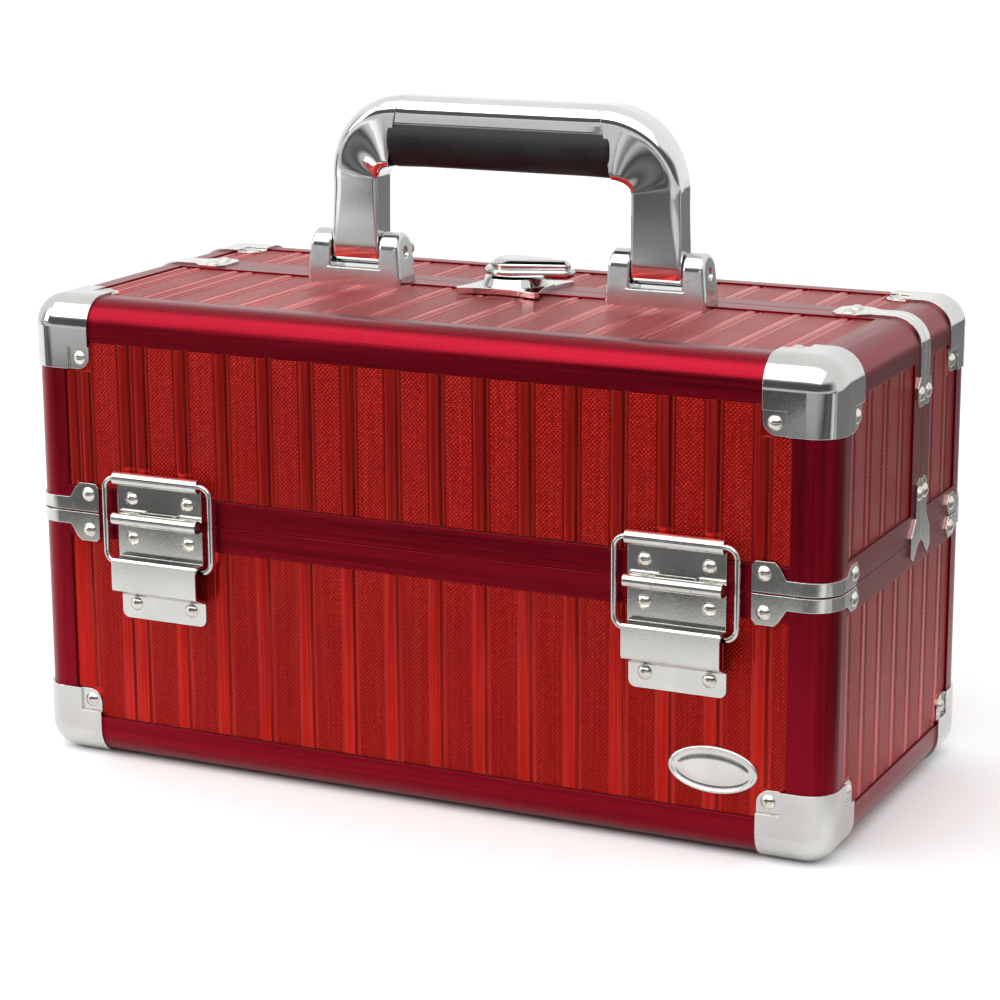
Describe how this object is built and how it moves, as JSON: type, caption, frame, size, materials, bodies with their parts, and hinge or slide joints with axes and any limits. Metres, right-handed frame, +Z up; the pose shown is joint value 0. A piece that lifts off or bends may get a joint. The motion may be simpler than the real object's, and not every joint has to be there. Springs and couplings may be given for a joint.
{
  "type": "makeup train case",
  "caption": "Hard makeup case with two top lids that swing apart on stop hinges, drawing out level trays, a folding handle, a turn latch and capped corners.",
  "frame": {"origin": "centre of the bottom of the bounding box, on the surface the case stands on", "axes": "+Z up, +X along the case's width, -Y is the front"},
  "size_m": [0.373, 0.1908, 0.2883],
  "materials": {
    "red_panel": "red embossed laminate, satin",
    "red_extrusion": "crimson anodised, fine brushed lines",
    "nickel": "bright nickel plated sheet steel",
    "chrome": "polished",
    "cast": "polished die casting",
    "wire": "bright wire",
    "rivet": "nickel plated domed rivets",
    "grip": "matt black sleeve",
    "bumper": "natural rubber",
    "lining": "black brushed lining",
    "tray": "black moulded tray",
    "arm": "zinc plated strip",
    "badge": "brushed oval with a raised bright rim"
  },
  "bodies": {
    "base": {"base_front_panel": "red_panel", "base_rear_panel": "red_panel", "base_end_panels": "red_panel", "base_bottom_panel": "red_panel", "base_floor_lining": "lining", "base_bottom_extrusions": "red_extrusion", "base_corner_posts": "red_extrusion", "base_rim_rails": "red_extrusion", "base_corner_caps": "nickel", "base_seam_brackets": "nickel", "stop_hinge_base_leaves": "nickel", "stop_hinge_pins": "wire", "badge": "badge", "tray_arm_studs": "arm", "base_rivets": "rivet"},
    "front_lid": {"front_lid_front_panel": "red_panel", "front_lid_top_panel": "red_panel", "front_lid_end_panels": "red_panel", "front_lid_edge_extrusions": "red_extrusion", "front_lid_rim_rails": "red_extrusion", "front_lid_lining": "lining", "front_lid_corner_caps": "nickel", "front_lid_seam_brackets": "nickel", "front_lid_split_straps": "nickel", "front_hinge_lid_leaves": "nickel", "front_lid_rivets": "rivet", "front_lid_tray_studs": "arm", "handle_brackets": "cast", "handle_pivot_pins": "wire", "handle_bumpers": "bumper", "latch_plate": "chrome", "latch_dish": "chrome"},
    "rear_lid": {"rear_lid_back_panel": "red_panel", "rear_lid_top_panel": "red_panel", "rear_lid_end_panels": "red_panel", "rear_lid_edge_extrusions": "red_extrusion", "rear_lid_rim_rails": "red_extrusion", "rear_lid_lining": "lining", "rear_lid_corner_caps": "nickel", "rear_lid_seam_brackets": "nickel", "rear_lid_split_straps": "nickel", "rear_hinge_lid_leaves": "nickel", "rear_lid_rivets": "rivet", "rear_lid_tray_studs": "arm", "latch_keeper_plate": "chrome"},
    "handle": {"handle_arch": "chrome", "handle_grip": "grip"},
    "latch": {"latch_knob": "chrome", "latch_shaft_cam": "arm"},
    "key_core": {"latch_key_core": "wire"},
    "ring_front_left": {"stop_ring_front_left": "wire"},
    "ring_front_right": {"stop_ring_front_right": "wire"},
    "ring_rear_left": {"stop_ring_rear_left": "wire"},
    "ring_rear_right": {"stop_ring_rear_right": "wire"},
    "front_long_arms": {"front_long_arms": "arm"},
    "front_short_arms": {"front_short_arms": "arm"},
    "rear_arms": {"rear_arms": "arm"},
    "front_upper_tray": {"front_upper_tray": "tray"},
    "front_lower_tray": {"front_lower_tray": "tray"},
    "rear_tray": {"rear_tray": "tray"}
  },
  "joints": [
    {"name": "front_lid_hinge", "type": "hinge", "parent": "base", "child": "front_lid", "pos_m": [0, -0.092, 0.112], "axis": [1, 0, 0], "range_deg": [0, 90]},
    {"name": "rear_lid_hinge", "type": "hinge", "parent": "base", "child": "rear_lid", "pos_m": [0, 0.092, 0.112], "axis": [-1, 0, 0], "range_deg": [0, 90]},
    {"name": "handle_fold", "type": "hinge", "parent": "front_lid", "child": "handle", "pos_m": [0, 0.009, 0.219], "axis": [1, 0, 0], "range_deg": [-80, 80]},
    {"name": "latch_turn", "type": "hinge", "parent": "front_lid", "child": "latch", "pos_m": [0, 0.0165, 0.211], "axis": [0, 0, 1], "range_deg": [0, 90]},
    {"name": "key_turn", "type": "hinge", "parent": "latch", "child": "key_core", "pos_m": [0, 0.0165, 0.211], "axis": [0, 0, 1], "range_deg": [0, 90]},
    {"name": "ring_front_left_swing", "type": "hinge", "parent": "front_lid", "child": "ring_front_left", "pos_m": [0, -0.0902, 0.1295], "axis": [1, 0, 0], "range_deg": [-60, 0]},
    {"name": "ring_rear_left_swing", "type": "hinge", "parent": "rear_lid", "child": "ring_rear_left", "pos_m": [0, 0.0902, 0.1295], "axis": [-1, 0, 0], "range_deg": [-60, 0]},
    {"name": "ring_front_right_swing", "type": "hinge", "parent": "front_lid", "child": "ring_front_right", "pos_m": [0, -0.0902, 0.1295], "axis": [1, 0, 0], "range_deg": [-60, 0]},
    {"name": "ring_rear_right_swing", "type": "hinge", "parent": "rear_lid", "child": "ring_rear_right", "pos_m": [0, 0.0902, 0.1295], "axis": [-1, 0, 0], "range_deg": [-60, 0]},
    {"name": "front_long_arms_swing", "type": "hinge", "parent": "base", "child": "front_long_arms", "pos_m": [0, -0.04, 0.1105], "axis": [1, 0, 0], "range_deg": [0, 90]},
    {"name": "front_short_arms_swing", "type": "hinge", "parent": "base", "child": "front_short_arms", "pos_m": [0, -0.074, 0.1105], "axis": [1, 0, 0], "range_deg": [0, 90]},
    {"name": "front_upper_tray_level", "type": "hinge", "parent": "front_long_arms", "child": "front_upper_tray", "pos_m": [0, 0.01, 0.1605], "axis": [1, 0, 0], "range_deg": [-90, 0]},
    {"name": "front_lower_tray_level", "type": "hinge", "parent": "front_long_arms", "child": "front_lower_tray", "pos_m": [0, -0.015, 0.1355], "axis": [1, 0, 0], "range_deg": [-90, 0]},
    {"name": "rear_arms_swing", "type": "hinge", "parent": "base", "child": "rear_arms", "pos_m": [0, 0.07, 0.1105], "axis": [-1, 0, 0], "range_deg": [0, 90]},
    {"name": "rear_tray_level", "type": "hinge", "parent": "rear_arms", "child": "rear_tray", "pos_m": [0, 0.04, 0.1405], "axis": [-1, 0, 0], "range_deg": [-90, 0]}
  ],
  "couplings": [
    {"joint": "ring_front_left_swing", "follows": "front_lid_hinge", "ratio": -0.6433},
    {"joint": "ring_rear_left_swing", "follows": "rear_lid_hinge", "ratio": -0.6433},
    {"joint": "ring_front_right_swing", "follows": "front_lid_hinge", "ratio": -0.6433},
    {"joint": "ring_rear_right_swing", "follows": "rear_lid_hinge", "ratio": -0.6433},
    {"joint": "front_long_arms_swing", "follows": "front_lid_hinge", "ratio": 1},
    {"joint": "front_short_arms_swing", "follows": "front_lid_hinge", "ratio": 1},
    {"joint": "front_upper_tray_level", "follows": "front_lid_hinge", "ratio": -1},
    {"joint": "front_lower_tray_level", "follows": "front_lid_hinge", "ratio": -1},
    {"joint": "rear_arms_swing", "follows": "rear_lid_hinge", "ratio": 1},
    {"joint": "rear_tray_level", "follows": "rear_lid_hinge", "ratio": -1}
  ]
}
